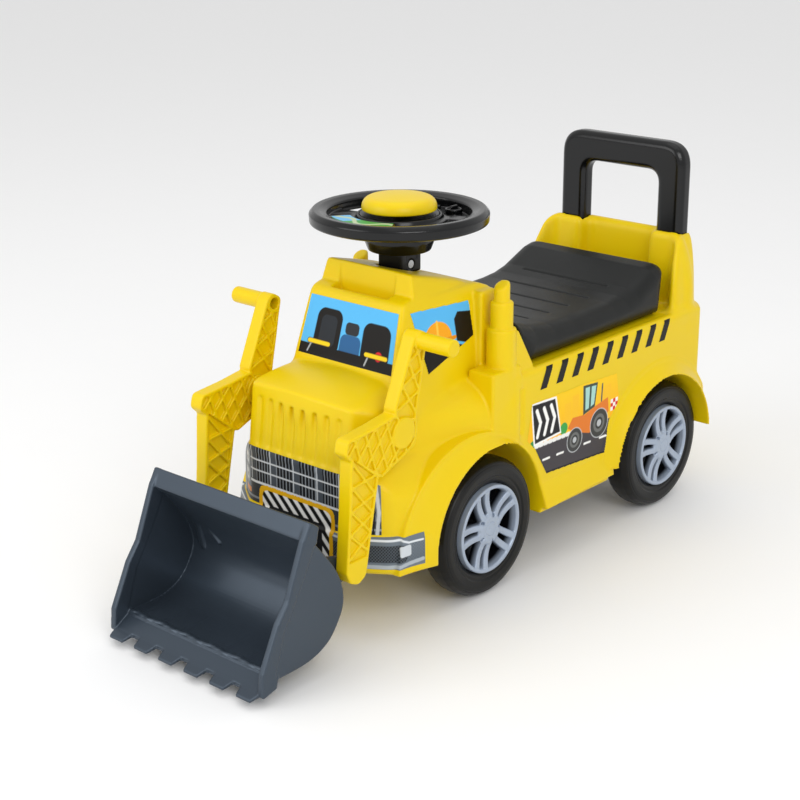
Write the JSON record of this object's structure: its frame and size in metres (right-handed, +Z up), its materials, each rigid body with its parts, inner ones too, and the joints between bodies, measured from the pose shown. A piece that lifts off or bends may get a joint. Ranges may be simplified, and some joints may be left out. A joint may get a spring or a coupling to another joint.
{
  "type": "ride-on toy digger",
  "caption": "Ride-on toy digger with steerable wheels, a seat lid over a bin, a push handle, a horn and a hand-lifted front bucket.",
  "frame": {"origin": "on the ground, under the middle of the object's bounding box", "axes": "+X is the vehicle's left, -Y is forward (towards the bucket), +Z is up"},
  "size_m": [0.262, 0.655, 0.37],
  "materials": {
    "body_yellow": "satin moulded polypropylene",
    "black_plastic": "fine moulded grain",
    "chassis_plastic": "plain moulding",
    "grey_plastic": "plain moulding",
    "slate_plastic": "satin moulding",
    "tyre_black": "hard blow-moulded tyre, satin",
    "rim_silver": "silver pearl plastic",
    "zinc_steel": "zinc plated",
    "circuit_board": "solder mask",
    "battery_case": "printed sleeve"
  },
  "bodies": {
    "chassis": {"body_shell": "body_yellow", "base_tray": "chassis_plastic", "storage_bin": "grey_plastic", "seat_hinge_rod": "zinc_steel", "rear_handle": "black_plastic", "roof_bush": "grey_plastic", "rear_axle": "zinc_steel", "tray_screw_1": "zinc_steel", "tray_screw_2": "zinc_steel", "tray_screw_3": "zinc_steel", "tray_screw_4": "zinc_steel", "handle_screw_left": "zinc_steel", "handle_screw_right": "zinc_steel", "kingpin_left": "zinc_steel", "kingpin_right": "zinc_steel", "axle_nut_rear_left": "zinc_steel", "axle_nut_rear_right": "zinc_steel", "loader_pin_left": "zinc_steel", "loader_pin_right": "zinc_steel"},
    "steering": {"steering_wheel": "black_plastic", "hub_cover": "black_plastic", "sound_module": "circuit_board", "speaker": "grey_plastic", "battery_1": "battery_case", "battery_2": "battery_case", "steering_post": "black_plastic", "steering_rod": "zinc_steel", "column_bolt": "zinc_steel", "column_nut": "zinc_steel", "horn_spring": "zinc_steel"},
    "horn": {"horn_button": "body_yellow"},
    "tie_rod": {"tie_rod": "chassis_plastic"},
    "knuckle_left": {"knuckle_left": "chassis_plastic", "stub_axle_left": "zinc_steel", "axle_nut_front_left": "zinc_steel"},
    "knuckle_right": {"knuckle_right": "chassis_plastic", "stub_axle_right": "zinc_steel", "axle_nut_front_right": "zinc_steel"},
    "seat": {"seat_lid": "black_plastic"},
    "loader": {"arm_left": "body_yellow", "arm_right": "body_yellow"},
    "bucket": {"bucket": "slate_plastic", "bucket_pin_left": "zinc_steel", "bucket_pin_right": "zinc_steel"},
    "wheel_front_left": {"tyre_front_left": "tyre_black", "rim_front_left": "rim_silver", "wheel_cap_front_left": "rim_silver"},
    "wheel_front_right": {"tyre_front_right": "tyre_black", "rim_front_right": "rim_silver", "wheel_cap_front_right": "rim_silver"},
    "wheel_rear_left": {"tyre_rear_left": "tyre_black", "rim_rear_left": "rim_silver", "wheel_cap_rear_left": "rim_silver"},
    "wheel_rear_right": {"tyre_rear_right": "tyre_black", "rim_rear_right": "rim_silver", "wheel_cap_rear_right": "rim_silver"}
  },
  "joints": [
    {"name": "steering_turn", "type": "hinge", "parent": "chassis", "child": "steering", "pos_m": [0, -0.0425, 0.3], "axis": [0, 0, 1], "range_deg": [-20, 20]},
    {"name": "horn_press", "type": "slide", "parent": "steering", "child": "horn", "axis": [0, 0, -1], "range_m": [0, 0.003], "stiffness_N_per_m": 600, "deforming": ["horn_spring"]},
    {"name": "tie_rod_slide", "type": "slide", "parent": "chassis", "child": "tie_rod", "axis": [1, 0, 0], "range_m": [-0.009, 0.009]},
    {"name": "knuckle_left_turn", "type": "hinge", "parent": "chassis", "child": "knuckle_left", "pos_m": [0.052, -0.0313, 0.0663], "axis": [0, 0, 1], "range_deg": [-20.5, 20.5]},
    {"name": "knuckle_right_turn", "type": "hinge", "parent": "chassis", "child": "knuckle_right", "pos_m": [-0.052, -0.0313, 0.0663], "axis": [0, 0, 1], "range_deg": [-20.5, 20.5]},
    {"name": "wheel_front_left_spin", "type": "hinge", "parent": "knuckle_left", "child": "wheel_front_left", "pos_m": [0.085, -0.0313, 0.0663], "axis": [1, 0, 0], "continuous": true},
    {"name": "wheel_front_right_spin", "type": "hinge", "parent": "knuckle_right", "child": "wheel_front_right", "pos_m": [-0.085, -0.0313, 0.0663], "axis": [1, 0, 0], "continuous": true},
    {"name": "wheel_rear_left_spin", "type": "hinge", "parent": "chassis", "child": "wheel_rear_left", "pos_m": [0.085, 0.255, 0.0663], "axis": [1, 0, 0], "continuous": true},
    {"name": "wheel_rear_right_spin", "type": "hinge", "parent": "chassis", "child": "wheel_rear_right", "pos_m": [-0.085, 0.255, 0.0663], "axis": [1, 0, 0], "continuous": true},
    {"name": "seat_open", "type": "hinge", "parent": "chassis", "child": "seat", "pos_m": [0, 0.018, 0.243], "axis": [1, 0, 0], "range_deg": [0, 50]},
    {"name": "loader_lift", "type": "hinge", "parent": "chassis", "child": "loader", "pos_m": [0, -0.145, 0.1905], "axis": [-1, 0, 0], "range_deg": [0, 40]},
    {"name": "bucket_tilt", "type": "hinge", "parent": "loader", "child": "bucket", "pos_m": [0, -0.203, 0.082], "axis": [-1, 0, 0], "range_deg": [-20, 15]}
  ],
  "couplings": [
    {"joint": "tie_rod_slide", "follows": "steering_turn", "m_per_rad": -0.025},
    {"joint": "knuckle_left_turn", "follows": "steering_turn", "ratio": 1},
    {"joint": "knuckle_right_turn", "follows": "steering_turn", "ratio": 1}
  ]
}
